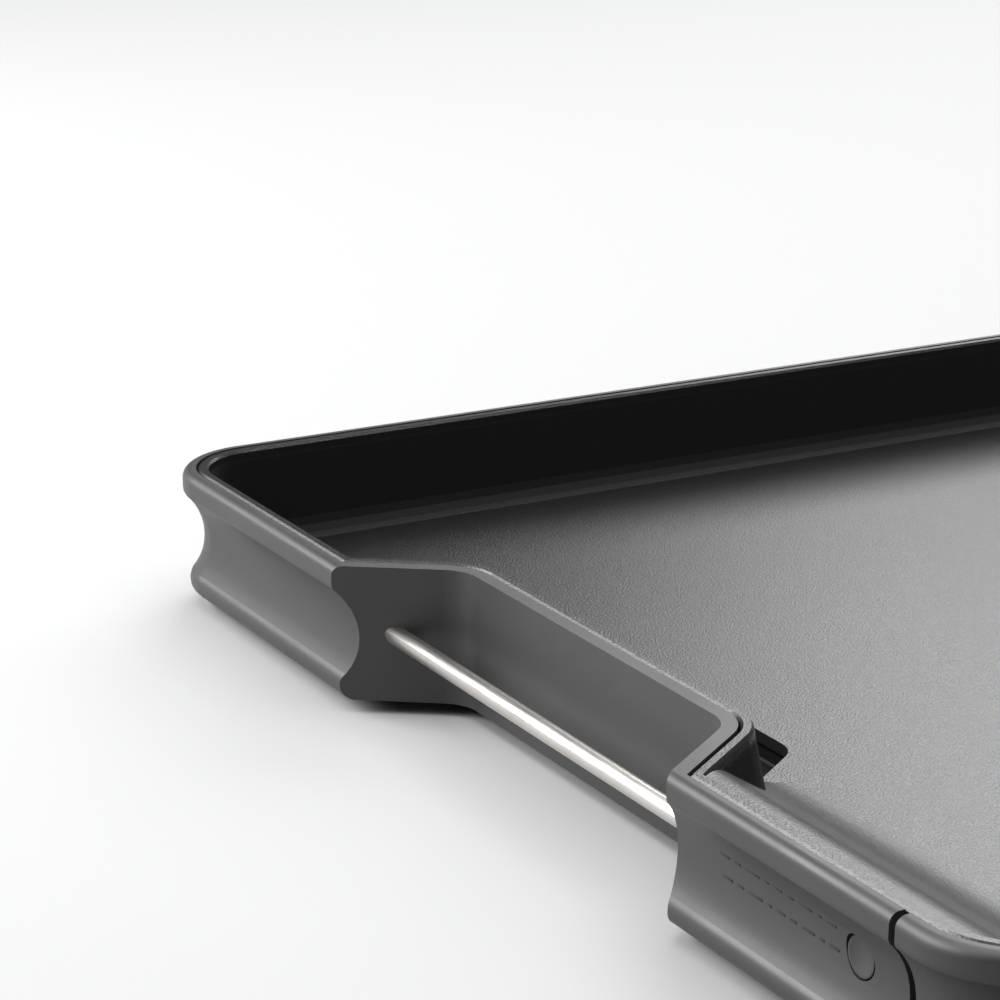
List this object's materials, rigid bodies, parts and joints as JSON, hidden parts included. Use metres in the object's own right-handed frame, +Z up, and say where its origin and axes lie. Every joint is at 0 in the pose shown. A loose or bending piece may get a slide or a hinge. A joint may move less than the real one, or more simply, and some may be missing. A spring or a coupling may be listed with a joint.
{
  "type": "electric griddle",
  "caption": "Electric griddle: deep non-stick tray in a scooped dark-grey frame with bare steel rod handles, drain slot, corner drip drawer and plug-in dial control.",
  "frame": {"origin": "on the worktop under the middle of the griddle", "axes": "+X along the long side, +Y to the back long side, +Z up; the drip drawer is at the -X, -Y corner"},
  "size_m": [0.6, 0.39, 0.0396],
  "materials": {
    "frame_grey": "satin, fine texture",
    "nonstick": "non-stick coated, fine grain",
    "stainless": "brushed",
    "steel": "plain",
    "element": "oxidised sheath",
    "ceramic": "matt ceramic",
    "reflector": "bright sheet",
    "pan_black": "matt black paint",
    "soft_feet": "matt",
    "carrier": "satin",
    "tray": "dark coated pressed sheet",
    "control_black": "satin",
    "dial": "satin",
    "brass": "plain",
    "lens": "tinted, clear",
    "gland": "matt"
  },
  "bodies": {
    "base": {"main_frame": "frame_grey", "handle_rod_left": "stainless", "handle_rod_right": "stainless", "rod_pins": "steel", "heating_element": "element", "terminal_pins": "steel", "terminal_insulator": "ceramic", "element_clips": "steel", "reflector_pan": "reflector", "reflector_spacers": "steel", "thermal_cutout": "ceramic", "earth_strap": "brass", "base_pan": "pan_black", "base_screws": "steel", "foot_front_left": "soft_feet", "foot_front_right": "soft_feet", "foot_rear_left": "soft_feet", "foot_rear_right": "soft_feet", "guide_rail_outer": "steel", "guide_rail_inner": "steel", "socket_guard": "control_black", "button_spring": "steel"},
    "plate": {"griddle_plate": "nonstick"},
    "drawer": {"drawer_front": "frame_grey", "drawer_carrier": "carrier", "drawer_screws": "steel", "latch_tongue": "carrier", "drip_tray": "tray"},
    "button": {"release_button": "frame_grey"},
    "control": {"control_base": "control_black", "control_cover": "control_black", "thermostat_switch": "ceramic", "probe_rod": "stainless", "contact_sleeves": "brass", "pilot_lens": "lens", "cord_gland": "gland", "control_screws": "steel"},
    "dial": {"temperature_dial": "dial", "dial_shaft": "steel"}
  },
  "joints": [
    {"name": "plate_lift", "type": "slide", "parent": "base", "child": "plate", "axis": [0, 0, 1], "range_m": [0, 0.09]},
    {"name": "drawer_slide", "type": "slide", "parent": "base", "child": "drawer", "axis": [0, -1, 0], "range_m": [0, 0.2]},
    {"name": "button_press", "type": "slide", "parent": "base", "child": "button", "axis": [1, 0, 0], "range_m": [0, 0.0007], "stiffness_N_per_m": 600},
    {"name": "control_pull", "type": "slide", "parent": "base", "child": "control", "axis": [0, -1, 0], "range_m": [0, 0.08]},
    {"name": "dial_turn", "type": "hinge", "parent": "control", "child": "dial", "pos_m": [0.172, -0.1717, 0.031], "axis": [0, 0, -1], "range_deg": [0, 280]}
  ]
}
